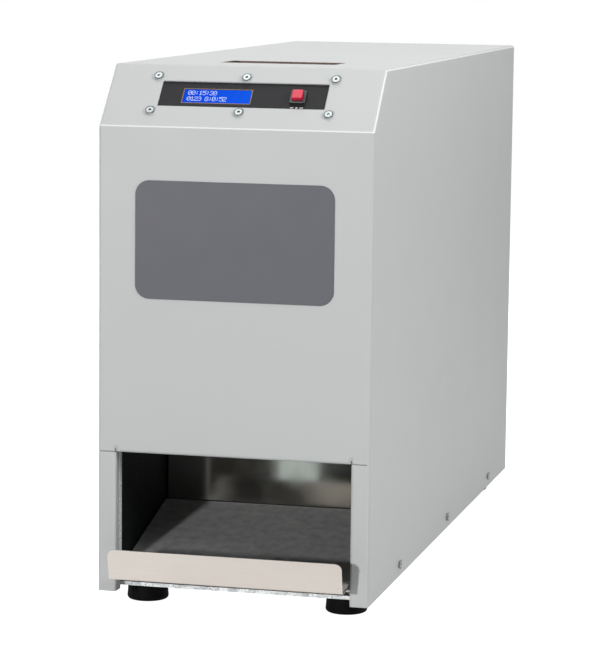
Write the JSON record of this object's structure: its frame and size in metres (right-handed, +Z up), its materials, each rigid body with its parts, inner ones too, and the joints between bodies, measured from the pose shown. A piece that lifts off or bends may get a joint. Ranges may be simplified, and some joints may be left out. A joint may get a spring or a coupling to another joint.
{
  "type": "hard drive degausser",
  "caption": "Tall narrow desktop degausser: a slot in the top takes a drive, a pulse coil wipes it, and it slides out onto a lipped tray at the front.",
  "frame": {"origin": "on the floor under the middle of the machine's box, tray lip and rear guard included", "axes": "+Z up, +Y from the tray opening at the front to the rear panel, +X to the right seen from the front"},
  "size_m": [0.2644, 0.7754, 0.5094],
  "materials": {
    "powder_coat": "fine textured satin",
    "galvanised": "spangled zinc",
    "stainless": "brushed",
    "black_steel": "black oxide",
    "zinc_steel": "bright zinc",
    "foot_rubber": "matte",
    "mat_rubber": "soft matte",
    "liner_black": "matte",
    "label_grey": "fine matte",
    "panel_black": "matte",
    "display_metal": "satin",
    "display_blue": "glossy",
    "circuit_board": "solder mask",
    "button_black": "satin",
    "button_red": "glossy",
    "phenolic": "laminate",
    "bobbin_resin": "moulded",
    "copper": "enamelled",
    "can_sleeve": "shrink sleeve",
    "core_steel": "varnished laminations",
    "winding_tape": "tape",
    "aluminium": "extruded",
    "resistor_enamel": "vitreous",
    "fan_black": "moulded",
    "guard_chrome": "bright"
  },
  "bodies": {
    "casing": {"cover": "powder_coat", "base_tray": "galvanised", "rear_panel": "powder_coat", "feet": "foot_rubber", "foot_bolts": "zinc_steel", "cover_screws": "zinc_steel", "corner_bracket": "galvanised", "chute_side_right": "galvanised", "chute_side_left": "galvanised", "chute_liners": "liner_black", "deflector": "stainless", "coil_shelf": "galvanised", "front_label": "label_grey", "control_panel": "panel_black", "panel_screws": "zinc_steel", "panel_nuts": "zinc_steel", "display_bezel": "display_metal", "display_glass": "display_blue", "display_board": "circuit_board", "button_body": "button_black", "button_nut": "button_black", "media_sleeve": "phenolic", "coil_bobbin": "bobbin_resin", "coil_winding": "copper", "coil_clamp_plates": "phenolic", "coil_tie_bolts": "zinc_steel", "coil_tie_nuts": "zinc_steel", "gate_bearings": "bobbin_resin", "gate_motor": "zinc_steel", "gate_motor_bracket": "galvanised", "mid_bulkhead": "galvanised", "control_board": "circuit_board", "charger_board": "circuit_board", "board_standoffs": "zinc_steel", "capacitors": "can_sleeve", "capacitor_clamps": "galvanised", "bus_bars": "copper", "bus_bar_bolts": "zinc_steel", "heatsink": "aluminium", "thyristor_module": "button_black", "bleed_resistor": "resistor_enamel", "resistor_brackets": "galvanised", "transformer_core": "core_steel", "transformer_coil": "winding_tape", "transformer_feet": "galvanised", "fan_housing": "fan_black", "fan_guard": "guard_chrome", "fan_screws": "black_steel", "power_inlet": "fan_black", "switch_body": "fan_black"},
    "tray": {"catch_tray": "stainless", "tray_mat": "mat_rubber"},
    "button": {"start_button": "button_red"},
    "gate": {"gate_flap": "stainless", "gate_pad": "mat_rubber", "gate_shaft": "zinc_steel"},
    "fan": {"fan_rotor": "fan_black"},
    "rocker": {"switch_rocker": "button_black"}
  },
  "joints": [
    {"name": "tray_slide", "type": "slide", "parent": "casing", "child": "tray", "axis": [0, -1, 0], "range_m": [0, 0.11]},
    {"name": "button_press", "type": "slide", "parent": "casing", "child": "button", "axis": [0, 0.73, -0.6834], "range_m": [0, 0.0025], "stiffness_N_per_m": 600, "springref_m": -0.0025},
    {"name": "gate_slide", "type": "slide", "parent": "casing", "child": "gate", "axis": [0, 1, 0], "range_m": [0, 0.047]},
    {"name": "fan_spin", "type": "hinge", "parent": "casing", "child": "fan", "pos_m": [-0.062, 0.36665, 0.412], "axis": [0, 1, 0], "continuous": true},
    {"name": "rocker_tilt", "type": "hinge", "parent": "casing", "child": "rocker", "pos_m": [0.07, 0.38065, 0.135], "axis": [1, 0, 0], "range_deg": [0, 20]}
  ]
}
